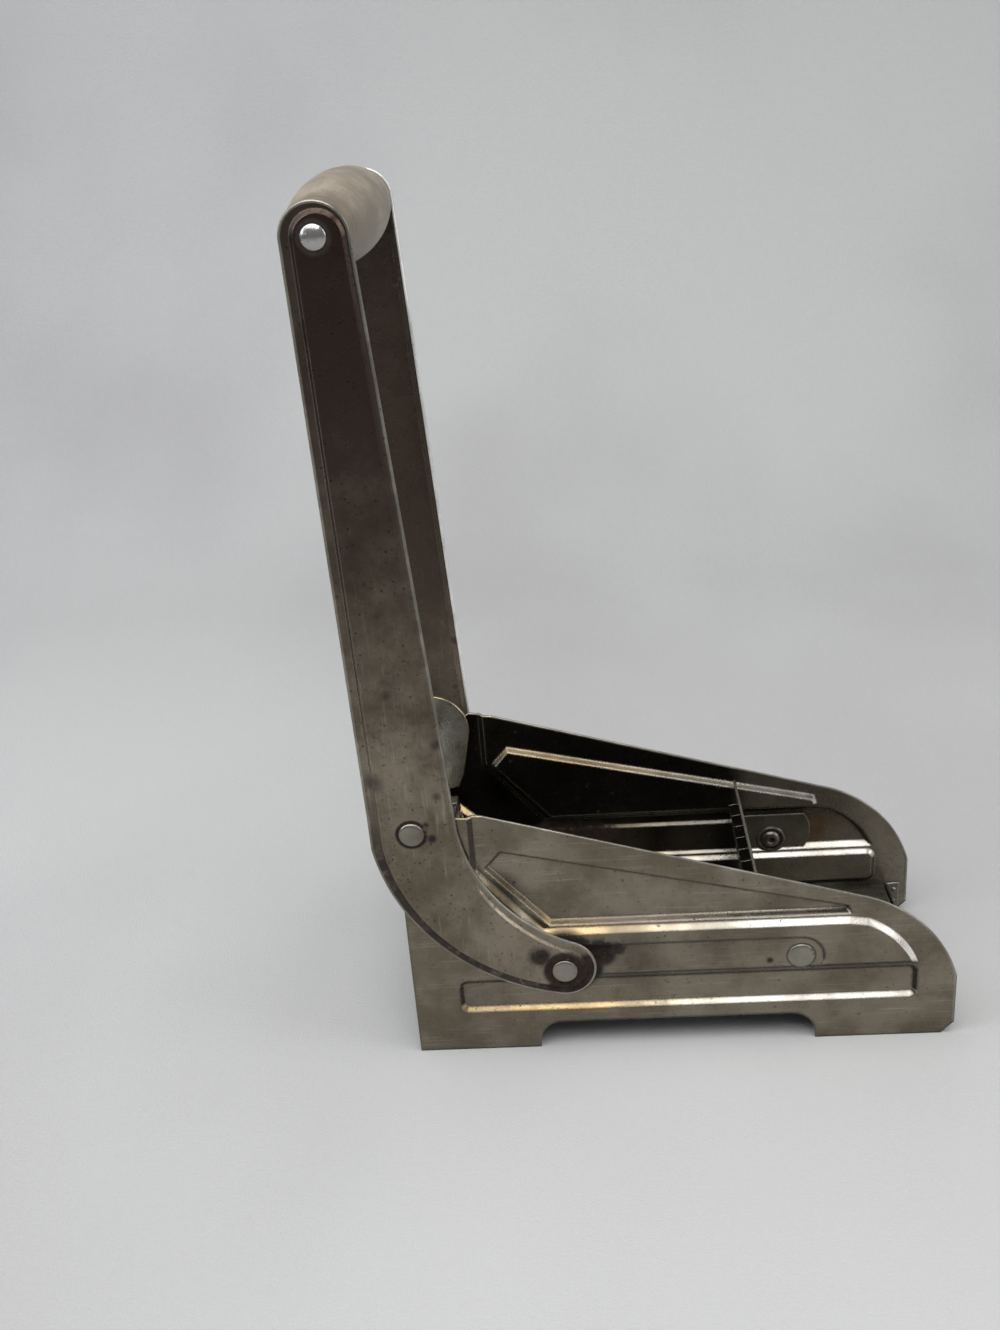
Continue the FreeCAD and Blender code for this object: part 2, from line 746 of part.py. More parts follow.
PAD_INSIDE = f"({PAD} - sheet)"
HEAD_START = f"({ARM_FACE} + side_gap)"
pivot_rivet = union("far_pivot_rivet", [
    bar("pivot_shank", "pivot", "pivot_radius", f"{PAD_INSIDE} - tail_height", HEAD_START),
    bar("pivot_head", "pivot", "pivot_head_radius", HEAD_START, f"{HEAD_START} + head_height"),
    bar("pivot_tail", "pivot", "tail_radius", f"{PAD_INSIDE} - tail_height", PAD_INSIDE),
])
TAB_INSIDE = f"({PAD} - sheet - frame_sheet)"
grid_rivet = union("far_grid_rivet", [
    bar("tab_shank", "tab_rivet", "tab_rivet_radius", f"{TAB_INSIDE} - tail_height", PAD),
    bar("tab_head", "tab_rivet", "tab_rivet_head", PAD, f"{PAD} + head_height"),
    bar("tab_tail", "tab_rivet", "tail_radius", f"{TAB_INSIDE} - tail_height", TAB_INSIDE),
])
washer = tube(
    "far_pivot_washer", "pivot", "washer_radius", "pivot_radius + running_gap", PAD, f"{ARM_SEAT} - side_gap"
)
spacer = tube(
    "far_rod_spacer", "rod", "spacer_radius", "rod_radius + running_gap", f"{LUG_LEVEL} + side_gap", ARM_SEAT
)
drive_rod = union("drive_rod", [
    bar("rod_shank", "rod", "rod_radius", f"-{ARM_FACE}", ARM_FACE),
    bar("rod_far_head", "rod", "rod_head_radius", ARM_FACE, f"{ARM_FACE} + head_height"),
    bar("rod_near_head", "rod", "rod_head_radius", f"-{ARM_FACE} - head_height", f"-{ARM_FACE}"),
])

nodes = [
    far_wall,
    mirrored("near_side_wall", far_wall),
    tray,
    back_plate,
    brace,
    feature("grid_frame", grid_frame()),
    feature("upright_blades", blades(False)),
    feature("level_blades", blades(True)),
    grid_rivet,
    mirrored("near_grid_rivet", grid_rivet),
    pivot_rivet,
    mirrored("near_pivot_rivet", pivot_rivet),
    washer,
    mirrored("near_pivot_washer", washer),
    far_arm,
    mirrored("near_lever_arm", far_arm),
    drive_rod,
    spacer,
    mirrored("near_rod_spacer", spacer),
    feature("grip_rod", grip_bolt()),
    feature("grip", grip_barrel()),
    feature("pusher_frame", pusher_frame()),
    feature("face_plate", face_plate()),
    feature("face_rivets", face_rivets()),
]
doc.recompute()

for obj in doc.Objects:
    if "Invalid" in obj.State or "Error" in obj.State:
        raise RuntimeError(f"{obj.Label}: {obj.State}")
for node in nodes:
    if node.Shape.isNull() or not node.Shape.isValid():
        raise RuntimeError(f"{node.Label}: no valid shape")
os.makedirs("parts", exist_ok=True)
for node in nodes:
    node.Shape.exportStep(f"parts/{node.Label}.step")
    box_size = node.Shape.BoundBox
    print(node.Label, len(node.Shape.Solids), round(node.Shape.Volume), box_size)
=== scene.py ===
import math

import bmesh
import bpy
from mathutils import Matrix, Vector


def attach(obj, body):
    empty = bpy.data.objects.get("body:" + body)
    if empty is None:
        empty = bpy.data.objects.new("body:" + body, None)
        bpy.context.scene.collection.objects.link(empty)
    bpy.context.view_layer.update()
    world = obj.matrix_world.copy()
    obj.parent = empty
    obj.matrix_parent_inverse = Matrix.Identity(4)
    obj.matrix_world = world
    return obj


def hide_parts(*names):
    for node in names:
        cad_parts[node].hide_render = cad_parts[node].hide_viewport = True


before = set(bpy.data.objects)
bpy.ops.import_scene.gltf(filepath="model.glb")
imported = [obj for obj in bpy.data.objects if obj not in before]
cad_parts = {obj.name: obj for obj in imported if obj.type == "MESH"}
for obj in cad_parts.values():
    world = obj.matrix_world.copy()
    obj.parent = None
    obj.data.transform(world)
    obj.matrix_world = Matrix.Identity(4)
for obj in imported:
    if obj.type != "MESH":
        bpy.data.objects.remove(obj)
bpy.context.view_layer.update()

print("stage: frame loaded")

# Places in millimetres, x from the body's back edge and z up from the table, as the CAD source measures them.
originX = 114.95
pivot = (70.6, 47.2)
rod = (8.2, 121.5)
grip = (0.4, 374.0)
tabRivet = (177.0, 47.0)
bendZ = 130.0
splay = math.radians(3.2)


def at(x, z, y=0.0):
    return Vector(((x - originX) / 1000, y / 1000, z / 1000))


def linear(hexColour):
    channels = [int(hexColour[i : i + 2], 16) / 255 for i in (1, 3, 5)]
    return tuple(c / 12.92 if c <= 0.04045 else ((c + 0.055) / 1.055) ** 2.4 for c in channels) + (1.0,)


# Shader helpers: every value goes straight onto a socket.
def addNode(tree, kind, inputs=None, **props):
    node = tree.nodes.new(kind)
    for key, value in props.items():
        setattr(node, key, value)
    for key, value in (inputs or {}).items():
        if isinstance(value, bpy.types.NodeSocket):
            tree.links.new(value, node.inputs[key])
        else:
            node.inputs[key].default_value = value
    return node


def calc(tree, operation, a, b=0.5, clamp=False):
    return addNode(tree, "ShaderNodeMath", {0: a, 1: b}, operation=operation, use_clamp=clamp).outputs[0]


def product(tree, first, *others):
    for other in others:
        first = calc(tree, "MULTIPLY", first, other)
    return first


def fade(tree, value, low, high):
    # 0 at low and 1 at high, with low above high for the other way round.
    inputs = {"Value": value, "From Min": low, "From Max": high}
    return addNode(tree, "ShaderNodeMapRange", inputs, interpolation_type="SMOOTHSTEP").outputs[0]


def mixColour(tree, factor, a, b):
    a, b = (linear(c) if isinstance(c, str) else c for c in (a, b))
    return addNode(tree, "ShaderNodeMix", {0: factor, 6: a, 7: b}, data_type="RGBA").outputs[2]


def noise(tree, coords, spacing, detail=5.0, rough=0.6, stretch=None):
    # spacing: the pattern's size in millimetres.
    if stretch:
        coords = addNode(tree, "ShaderNodeMapping", {"Vector": coords, "Scale": stretch}).outputs[0]
    inputs = {"Vector": coords, "Scale": 1000 / spacing, "Detail": detail, "Roughness": rough}
    return addNode(tree, "ShaderNodeTexNoise", inputs).outputs["Fac"]


def specks(tree, coords, spacing, radius, gate):
    # spacing in millimetres, and radius as a share of it.
    inputs = {"Vector": coords, "Scale": 1000 / spacing, "Randomness": 1.0}
    cells = addNode(tree, "ShaderNodeTexVoronoi", inputs)
    return product(tree, fade(tree, cells.outputs["Distance"], radius, radius * 0.4), gate)


def newMaterial(name):
    material = bpy.data.materials.new(name)
    material.use_nodes = True
    tree = material.node_tree
    tree.nodes.clear()
    coords = addNode(tree, "ShaderNodeTexCoord").outputs["Object"]
    parts = addNode(tree, "ShaderNodeSeparateXYZ", {0: coords}).outputs
    return material, tree, coords, parts


def lengthOf(tree, dx, dz):
    return calc(tree, "SQRT", calc(tree, "ADD", product(tree, dx, dx), product(tree, dz, dz)))


def nearPlace(tree, parts, place, inner, outer):
    # 1 within inner millimetres of the place, as seen from the side, and 0 past outer.
    dx = calc(tree, "SUBTRACT", parts[0], (place[0] - originX) / 1000)
    dz = calc(tree, "SUBTRACT", parts[2], place[1] / 1000)
    return fade(tree, lengthOf(tree, dx, dz), outer / 1000, inner / 1000)


# The lever's own marks, in metres: brown patina towards the grip, brown dirt in the rolled rim's fold
# on the outside of the bend, and a calm front rim that shows neither worn edges with their painted highlights nor
# rust.
leverZones = {
    "patinaWave": 0.12, "proudMiddle": (0.0546, 0.0553), "overRim": 0.76, "overMiddle": 0.2,
    "bendCentre": (75, 125), "foldReach": (0.070, 0.078), "foldTop": (0.150, 0.105),
    "foldInner": (0.0544, 0.05475), "foldOuter": (0.05625, 0.0557), "foldPatches": 8.3,
    "armDrift": 0.0333, "frontRim": (0.069, 0.064), "calming": 0.9,
}


def leverMarks(tree, coords, parts, blotch, colour, look):
    zones = leverZones
    over = calc(tree, "MAXIMUM", calc(tree, "SUBTRACT", parts[2], bendZ / 1000), 0.0)
    lift = calc(tree, "MULTIPLY", over, math.tan(splay))
    level = calc(tree, "SUBTRACT", calc(tree, "ABSOLUTE", parts[1]), lift)
    middle = fade(tree, level, *zones["proudMiddle"]) if look["proud"] else 1.0
    wavy = calc(tree, "ADD", parts[2], calc(tree, "MULTIPLY", blotch, zones["patinaWave"]))
    tint, start, full = look["patina"]
    share = calc(tree, "ADD", calc(tree, "MULTIPLY", middle, zones["overMiddle"]), zones["overRim"])
    colour = mixColour(tree, product(tree, fade(tree, wavy, start, full), share), colour, tint)

    centreX, centreZ = zones["bendCentre"]
    dx = calc(tree, "SUBTRACT", parts[0], (centreX - originX) / 1000)
    dz = calc(tree, "SUBTRACT", parts[2], centreZ / 1000)
    reach = lengthOf(tree, dx, calc(tree, "MINIMUM", dz, 0.0))
    fold = product(
        tree, fade(tree, reach, *zones["foldReach"]), fade(tree, parts[2], *zones["foldTop"]),
        fade(tree, level, *zones["foldInner"]), fade(tree, level, *zones["foldOuter"]),
        fade(tree, noise(tree, coords, zones["foldPatches"], 7, 0.7), 0.3, 0.5),
    )
    drift = calc(tree, "MULTIPLY", calc(tree, "MAXIMUM", dz, 0.0), zones["armDrift"])
    frontRim = fade(tree, calc(tree, "SUBTRACT", reach, drift), *zones["frontRim"])
    calm = calc(tree, "SUBTRACT", 1.0, calc(tree, "MULTIPLY", frontRim, zones["calming"]))
    return colour, fold, calm


# The walls' marks: painted shade on the chamber's inner faces, deeper towards the back, a brown stain in front of
# the blades, a painted shadow in the pocket behind the short ridge, and painted shade on pressed steps that face
# down and painted highlights on those that face up.
wallZones = {
    "chamberFront": (0.052, 0.040), "chamberShade": (0.74, 0.08, "#141210"),
    "front": (0.25, "#6f6a5e"), "stain": ((200, 52), 2, 15, 0.7, "#6b4519"),
    "shadowPocket": ((42, 84), 5, 16, 0.85, "#1f1b15"), "ridge": ((44, 82), 19, 26, 0.85),
    "stepShade": (0.9, "#211d17"), "upslopeShade": (0.5, 0.6), "hollowDepth": 0.45, "hollowShade": 0.6,
    "highlightGold": (0.05, -0.04, "#f4f1e9", "#d6b67c"), "glintPatches": 30,
}


def wallMarks(tree, coords, parts, blotch, normal, soft, colour, look):
    zones = wallZones
    turned = addNode(tree, "ShaderNodeSeparateXYZ", {0: normal}).outputs
    # Painted shade on the chamber's inner faces, deepening towards the back; their front part is toned grey.
    inner = fade(tree, calc(tree, "MULTIPLY", turned[1], look["inside"]), 0.2, 0.6)
    inner = product(tree, inner, fade(tree, calc(tree, "ABSOLUTE", turned[2]), 0.55, 0.25))
    back = fade(tree, parts[0], *zones["chamberFront"])
    depth, base, tint = zones["chamberShade"]
    colour = mixColour(tree, product(tree, inner, calc(tree, "ADD", product(tree, back, depth), base)), colour, tint)
    frontInner = product(tree, inner, calc(tree, "SUBTRACT", 1.0, back))
    share, tint = zones["front"]
    colour = mixColour(tree, product(tree, frontInner, share), colour, tint)
    place, near, far, share, tint = zones["stain"]
    stain = product(tree, inner, nearPlace(tree, parts, place, near, far), fade(tree, blotch, 0.35, 0.65), share)
    colour = mixColour(tree, stain, colour, tint)
    # Painted shadow: a dark patch in the pocket behind the short ridge.
    place, near, far, share, tint = zones["shadowPocket"]
    shadowPocket = product(tree, nearPlace(tree, parts, place, near, far), fade(tree, blotch, 0.2, 0.45), share)
    colour = mixColour(tree, shadowPocket, colour, tint)

    lean = addNode(tree, "ShaderNodeSeparateXYZ", {0: soft}).outputs
    upward = calc(tree, "ADD", calc(tree, "MULTIPLY", lean[2], 0.9), calc(tree, "MULTIPLY", lean[0], 0.3))
    # Painted shade: where a step leans up most, its painted highlight gives way to shade.
    upslopeShade = product(tree, fade(tree, upward, *zones["upslopeShade"]), zones["hollowDepth"])
    # Painted highlight where a step leans up, dimmed near the ridge and in patches.
    bright = calc(tree, "SUBTRACT", fade(tree, upward, 0.24, 0.34), upslopeShade, True)
    place, near, far, share = zones["ridge"]
    ridge = product(tree, nearPlace(tree, parts, place, near, far), share)
    patchy = fade(tree, noise(tree, coords, zones["glintPatches"], 5, 0.6), 0.38, 0.58)
    bright = product(
        tree, bright, fade(tree, turned[2], 0.93, 0.82), calc(tree, "SUBTRACT", 1.0, ridge),
        calc(tree, "ADD", calc(tree, "MULTIPLY", patchy, 0.5), 0.45),
    )
    # Painted shade: dark lines where a step leans down and beside the painted highlights.
    stepEdgeShade = calc(tree, "SUBTRACT", fade(tree, upward, 0.04, 0.13), fade(tree, upward, 0.18, 0.28), True)
    stepEdgeShade = calc(tree, "MAXIMUM", stepEdgeShade, product(tree, upslopeShade, zones["hollowShade"]))
    stepShade = calc(tree, "MAXIMUM", fade(tree, upward, -0.01, -0.1), stepEdgeShade)
    share, tint = zones["stepShade"]
    colour = mixColour(tree, product(tree, stepShade, share), colour, tint)
    # Painted highlight colour: pale at the front, gold towards the back.
    frontX, backX, pale, highlightGold = zones["highlightGold"]
    colour = mixColour(tree, bright, colour, mixColour(tree, fade(tree, parts[0], frontX, backX), pale, highlightGold))
    return colour, frontInner, bright


# Rust and grime: near-black brown, matt, drawn in patches of about 5 mm with finer grains of 2.4 mm.
rustLook = {
    "dark": "#0d0805", "light": "#2f1a0c", "patches": 5.2, "grains": 2.4, "rough": 0.4,
    "creviceReach": 0.0035, "fleckShare": 0.85, "pitShare": 0.7, "pitColour": "#1d1a16",
}


def steel(name, look):
    material, tree, coords, parts = newMaterial(name)
    broad = noise(tree, coords, look["broad"], 6, 0.62)
    blotch = noise(tree, coords, look["blotch"], 8, 0.7)
    grain = noise(tree, coords, look["grain"], 6, 0.7)
    streaks = noise(tree, coords, look["streak"], 3, 0.5, look["streakWay"])
    colour = mixColour(tree, fade(tree, broad, 0.36, 0.64), look["dark"], look["light"])
    colour = mixColour(tree, product(tree, fade(tree, blotch, 0.5, 0.72), look["stained"]), colour, look["stain"])
    colour = mixColour(tree, product(tree, fade(tree, streaks, 0.58, 0.75), look["streaked"]), colour, look["edge"])

    normal = addNode(tree, "ShaderNodeNewGeometry").outputs["Normal"]
    soft = addNode(tree, "ShaderNodeBevel", {"Radius": look["bevel"]}, samples=6).outputs[0]
    fold, calm, frontInner, bright = 0.0, 1.0, 0.0, 0.0
    if "patina" in look:
        colour, fold, calm = leverMarks(tree, coords, parts, blotch, colour, look)
    if "inside" in look:
        colour, frontInner, bright = wallMarks(tree, coords, parts, blotch, normal, soft, colour, look)

    inputs = {"Distance": rustLook["creviceReach"]}
    crevice = addNode(tree, "ShaderNodeAmbientOcclusion", inputs, samples=6).outputs["AO"]
    crevice = fade(tree, crevice, 0.93, 0.6)
    rust = product(tree, crevice, fade(tree, blotch, 0.42, 0.6), calm, look["creviceRust"])
    rust = calc(tree, "MAXIMUM", rust, fold)
    for place, inner, outer, amount in look["rust"]:
        patches = fade(tree, noise(tree, coords, rustLook["patches"], 8, 0.75), 0.32, 0.46)
        ring = product(tree, nearPlace(tree, parts, place, inner, outer), amount, patches)
        rust = calc(tree, "MAXIMUM", rust, ring)
    gate = product(tree, fade(tree, broad, look["flecks"], 0.62), fade(tree, grain, 0.46, 0.56))
    flecks = specks(tree, coords, look["fleck"], 0.19, gate)
    rust = calc(tree, "MAXIMUM", rust, product(tree, flecks, rustLook["fleckShare"]))
    grains = fade(tree, noise(tree, coords, rustLook["grains"], 6, 0.7), 0.4, 0.62)
    colour = mixColour(tree, rust, colour, mixColour(tree, grains, rustLook["dark"], rustLook["light"]))
    pits = specks(tree, coords, look["pit"], look["pitRadius"], fade(tree, grain, 0.42, 0.6))
    colour = mixColour(tree, product(tree, pits, rustLook["pitShare"]), colour, rustLook["pitColour"])

    # Edges lightened towards the edge tint where the rounded normal turns away from the face's own: partly rubbed
    # wear, partly painted highlight.
    facing = addNode(tree, "ShaderNodeVectorMath", {0: soft, 1: normal}, operation="DOT_PRODUCT").outputs["Value"]
    wearAndGlint = product(
        tree, fade(tree, facing, 0.985, 0.86), fade(tree, blotch, 0.3, 0.5),
        calc(tree, "SUBTRACT", 1.0, rust, True), calm,
    )
    colour = mixColour(tree, product(tree, wearAndGlint, look["wearAndGlint"]), colour, look["edge"])

    smooth, matt = look["roughness"]
    rough = calc(tree, "ADD", product(tree, fade(tree, blotch, 0.3, 0.7), matt - smooth), smooth)
    rough = calc(tree, "ADD", rough, product(tree, rust, rustLook["rough"]), True)
    rough = calc(tree, "SUBTRACT", rough, product(tree, wearAndGlint, 0.12), True)
    metal = calc(tree, "SUBTRACT", look["metallic"], rust, True)
    metal = calc(tree, "SUBTRACT", metal, product(tree, frontInner, 0.2), True)
    metal = calc(tree, "SUBTRACT", metal, product(tree, bright, 0.3), True)
    height = calc(tree, "ADD", product(tree, grain, 0.35), product(tree, broad, 1.2))
    height = calc(tree, "SUBTRACT", height, product(tree, pits, 0.9))
    height = calc(tree, "ADD", height, product(tree, rust, 0.5))
    bump = {"Strength": look["bump"], "Distance": 0.0006, "Height": height, "Normal": soft}
    shader = addNode(tree, "ShaderNodeBsdfPrincipled", {
        "Base Color": colour, "Metallic": metal, "Roughness": rough,
        "Normal": addNode(tree, "ShaderNodeBump", bump).outputs[0],
    })
    addNode(tree, "ShaderNodeOutputMaterial", {0: shader.outputs[0]})
    return material


# What all the steels share. Pattern sizes are in millimetres: tarnish clouds as wide as a thumb and
# handling stains of a fingertip. Mill grain and polishing streaks are far finer on real sheet, and are
# drawn as coarse as they need to be to show.
sheetSteel = {
    "broad": 38, "blotch": 13, "grain": 1.6, "streak": 1.4, "streakWay": (0.06, 1, 2.0), "streaked": 0.12,
    "fleck": 6, "flecks": 0.4, "pit": 3, "pitRadius": 0.17, "stained": 0.35, "wearAndGlint": 0.8, "bevel": 0.0007,
    "creviceRust": 0.5, "metallic": 0.92, "bump": 0.35, "proud": True, "rust": (),
}
# Pressed sheet that has lost its tin: dull grey-brown, with soft broad reflections and rust at the rivets.
bodyLook = dict(
    sheetSteel, dark="#6a6254", light="#867e70", stain="#544a3b", edge="#f6f3ea", bevel=0.0015,
    roughness=(0.2, 0.34), creviceRust=0.2, flecks=0.46, wearAndGlint=0.2,
    rust=(
        (pivot, 14.5, 20, 1.7), ((87, 53), 3, 11, 1.9), ((95, 55), 1, 7, 1.3), ((100, 50), 2, 26, 0.4),
        ((135, 49), 2, 24, 0.25), (tabRivet, 5.8, 7.4, 1.0), ((163, 45), 0.5, 2.5, 1.1),
    ),
)
# The arms' sheet, polished along its length: bare and scratched at the bend, brown-black towards the grip.
leverLook = dict(
    sheetSteel, dark="#675f51", light="#8a8071", stain="#463b2c", edge="#e6e1d4", bevel=0.0009,
    patina=("#3b2f2a", 0.16, 0.37), roughness=(0.2, 0.38), creviceRust=0.7, flecks=0.36,
    wearAndGlint=0.3, pitRadius=0.25, streakWay=(1.2, 1, 0.06),
    rust=(
        (pivot, 6.8, 11.5, 2.0), ((75, 38), 3, 11, 1.7), ((81, 47), 3, 11, 1.7), ((60, 55), 1, 8, 1.5),
        ((66, 37), 2, 7, 1.5), (rod, 6.0, 7.8, 1.8), ((17, 119), 0.5, 3.2, 1.3), ((15, 126), 0.5, 2.2, 1.0),
        (grip, 4.6, 7.2, 1.3), ((-6, 148), 1, 7, 0.8), ((23, 165), 0.5, 4, 0.9), ((21, 140), 0.5, 3, 0.8),
        ((5, 190), 0.5, 3, 0.8),
    ),
)
# The far arm shows its inner face, which is duller and browner all over.
farLeverLook = dict(leverLook, patina=("#42372f", 0.14, 0.30), proud=False, metallic=0.55)
# Mild steel rivets with hammered heads: grey, with rust round the rim.
rivetLook = dict(
    sheetSteel, dark="#67635a", light="#8d897e", stain="#554e42", edge="#d4d1c7",
    roughness=(0.26, 0.42), creviceRust=0.9, flecks=0.6, bevel=0.0004,
)
# The grip's rivet is plated and still shines.
chromeLook = dict(rivetLook, dark="#a9a7a4", light="#d8d6d2", stain="#8c8882", roughness=(0.12, 0.26))
# Bright rolled edges: on the walls and the near arm, where the hand and the cloth keep the steel clean; on the far
# arm, painted near white as a painted highlight.
nearRimLook = dict(rivetLook, dark="#77736a", light="#9d998e")
farRimHighlightLook = dict(rivetLook, dark="#c9c7c2", light="#f0efeb", metallic=0.5, creviceRust=0.0)
# The pusher's sheet is cleaner than the body's, with a painted golden reflection on its edges and a faint gold tint
# in its streaks.
pusherLook = dict(
    sheetSteel, dark="#8d8a7f", light="#bbb8ad", stain="#7d6c4c", edge="#f0d79c",
    roughness=(0.18, 0.34), creviceRust=0.4, flecks=0.55,
)
# Thin hardened strip, darkened by starch, with a faint bright cutting edge.
bladeLook = dict(
    sheetSteel, dark="#3a3833", light="#57544c", stain="#2c281f", edge="#a8a496",
    roughness=(0.2, 0.36), creviceRust=0.5, flecks=0.55, bevel=0.0002,
)
# The cross pieces and the grid's frame are coloured darker than the walls, partly dirt and partly painted shade for
# the body's shade they sit in.
frameLook = dict(bodyLook, dark="#4b4840", light="#76736a")
tabLook = dict(bodyLook, dark="#5c584d", light="#757065", edge="#7b776b", metallic=0.7)
steels = {
    "nearWall": steel("nearWallSteel", dict(bodyLook, inside=1.0)),
    "farWall": steel("farWallSteel", dict(bodyLook, inside=-1.0)),
    "lever": steel("leverSteel", leverLook),
    "farLever": steel("farLeverSteel", farLeverLook),
    "nearRim": steel("rubbedEdgeSteel", nearRimLook),
    "farRim": steel("paintedHighlightEdgeSteel", farRimHighlightLook),
    "rivet": steel("rivetSteel", rivetLook),
    "chrome": steel("gripRivetSteel", chromeLook),
    "pusher": steel("pusherSteel", pusherLook),
    "blade": steel("bladeSteel", bladeLook),
    "frame": steel("frameSteel", frameLook),
    "tab": steel("tabSteel", tabLook),
}

# Turned beech, bleached and greyed by washing: fibres along the grip, dark specks and dirty ends.
gripLook = {
    "dark": "#696052", "light": "#8b8172", "cloud": 21, "fibre": 4.8, "fibreWay": (1, 0.07, 1),
    "fibreColour": "#6d6353", "fine": 1.1, "dirt": 4.2, "dirtColour": "#4f4638",
    "ends": (0.054, 0.066), "endColour": "#544a3b",
}


def gripFinish(look):
    material, tree, coords, parts = newMaterial("wornGrip")
    cloud = noise(tree, coords, look["cloud"], 7, 0.68)
    fibre = noise(tree, coords, look["fibre"], 6, 0.6, look["fibreWay"])
    fine = noise(tree, coords, look["fine"], 4, 0.6)
    colour = mixColour(tree, fade(tree, cloud, 0.36, 0.66), look["dark"], look["light"])
    colour = mixColour(tree, product(tree, fade(tree, fibre, 0.52, 0.7), 0.5), colour, look["fibreColour"])
    dirt = specks(tree, coords, look["dirt"], 0.24, fade(tree, cloud, 0.46, 0.6))
    colour = mixColour(tree, product(tree, dirt, 0.6), colour, look["dirtColour"])
    ends = fade(tree, calc(tree, "ABSOLUTE", parts[1]), *look["ends"])
    colour = mixColour(tree, product(tree, ends, 0.6), colour, look["endColour"])
    height = calc(tree, "ADD", product(tree, fibre, 1.0), product(tree, fine, 0.3))
    rough = calc(tree, "ADD", product(tree, cloud, 0.35), 0.36)
    bump = addNode(tree, "ShaderNodeBump", {"Strength": 0.4, "Distance": 0.0005, "Height": height}).outputs[0]
    inputs = {"Base Color": colour, "Roughness": rough, "Normal": bump, "Coat Weight": 0.15, "Coat Roughness": 0.3}
    shader = addNode(tree, "ShaderNodeBsdfPrincipled", inputs)
    addNode(tree, "ShaderNodeOutputMaterial", {0: shader.outputs[0]})
    return material


gripMaterial = gripFinish(gripLook)
print("stage: materials made")

# The CAD pieces that stay, each with its own steel.
nodeSteel = {
    "near_side_wall": "nearWall", "far_side_wall": "farWall",
    "near_lever_arm": "lever", "far_lever_arm": "farLever",
    "floor_tray": "frame", "back_plate": "frame", "front_brace": "frame", "grid_frame": "tab",
    "upright_blades": "blade", "level_blades": "blade",
    "near_pivot_washer": "rivet", "far_pivot_washer": "rivet",
    "near_rod_spacer": "rivet", "far_rod_spacer": "rivet",
    "grip_rod": "chrome", "pusher_frame": "pusher", "face_plate": "pusher", "face_rivets": "rivet",
}
for nodeName, steelName in nodeSteel.items():
    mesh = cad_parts[nodeName].data
    mesh.materials.clear()
    mesh.materials.append(steels[steelName])
    mesh.shade_smooth()
    mesh.set_sharp_from_angle(angle=math.radians(28))


def finishPiece(name, mesh, material, body, nodes=()):
    mesh.materials.clear()
    mesh.materials.append(material)
    mesh.shade_smooth()
    mesh.set_sharp_from_angle(angle=math.radians(38))
    piece = bpy.data.objects.new(name, mesh)
    bpy.context.scene.collection.objects.link(piece)
    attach(piece, body)
    if nodes:
        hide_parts(*nodes)
    return piece


def lathe(profile, centre, side=1, steps=56):
    # profile: (radius, y) in millimetres from the axis and back to it, or a closed ring.
    build = bmesh.new()
    loops = []
    for radius, y in profile:
        if radius == 0:
            loops.append([build.verts.new(at(*centre, y * side))])
            continue
        ring = []
        for i in range(steps):
            turn = 2 * math.pi * i / steps
            x, z = centre[0] + radius * math.cos(turn), centre[1] + radius * math.sin(turn)
            ring.append(build.verts.new(at(x, z, y * side)))
        loops.append(ring)
    if profile[0][0] != 0:
        loops.append(loops[0])
    for a, b in zip(loops, loops[1:]):
        for i in range(steps):
            j = (i + 1) % steps
            corners = [a[i % len(a)], a[j % len(a)], b[j % len(b)], b[i % len(b)]]
            build.faces.new(list(dict.fromkeys(corners)))
    bmesh.ops.recalc_face_normals(build, faces=build.faces)
    mesh = bpy.data.meshes.new("lathed")
    build.to_mesh(mesh)
    build.free()
    return mesh


# Rivets with rounded heads, as lathed pieces in the CAD rivets' places.
pivotProfile = [
    (0, 48.8), (3.9, 48.8), (4.5, 49.2), (4.6, 50.3), (3.0, 50.3), (3.0, 56.5), (5.4, 56.5),
    (5.6, 56.7), (5.55, 57.0), (5.1, 57.4), (4.2, 57.62), (2.4, 57.7), (0, 57.7),
]
tabProfile = [
    (0, 50.4), (1.2, 50.2), (1.55, 49.0), (1.7, 47.85), (2.1, 47.6), (2.7, 47.62), (3.6, 48.0),
    (4.3, 48.6), (4.6, 49.1), (2.6, 49.1), (2.6, 51.3), (6.0, 51.3), (6.2, 51.5), (6.1, 51.8),
    (5.5, 52.2), (4.4, 52.44), (2.4, 52.5), (0, 52.5),
]
rodEnd = [(3.5, 56.2), (5.45, 56.2), (5.6, 56.4), (5.5, 56.8), (5.0, 57.2), (3.9, 57.36), (0, 57.4)]
rodProfile = [(radius, -y) for radius, y in reversed(rodEnd)] + rodEnd
for sideName, side in (("near", -1), ("far", 1)):
    finishPiece(
        f"{sideName}PivotRivet", lathe(pivotProfile, pivot, side), steels["rivet"],
        "body", [f"{sideName}_pivot_rivet"],
    )
    finishPiece(
        f"{sideName}GridRivet", lathe(tabProfile, tabRivet, side), steels["rivet"],
        "body", [f"{sideName}_grid_rivet"],
    )
finishPiece("driveRod", lathe(rodProfile, rod), steels["rivet"], "lever", ["drive_rod"])

# The grip: a turned barrel with eased ends and two faint grooves at each end, in millimetres.
gripShape = {
    "half": 65.6, "endRadius": 11.8, "middleRadius": 17.5, "bore": 3.05, "ease": 1.2, "rings": 160,
    "grooves": (56.0, 59.5), "grooveDepth": 0.28, "grooveWidth": 0.5, "sides": 96,
}


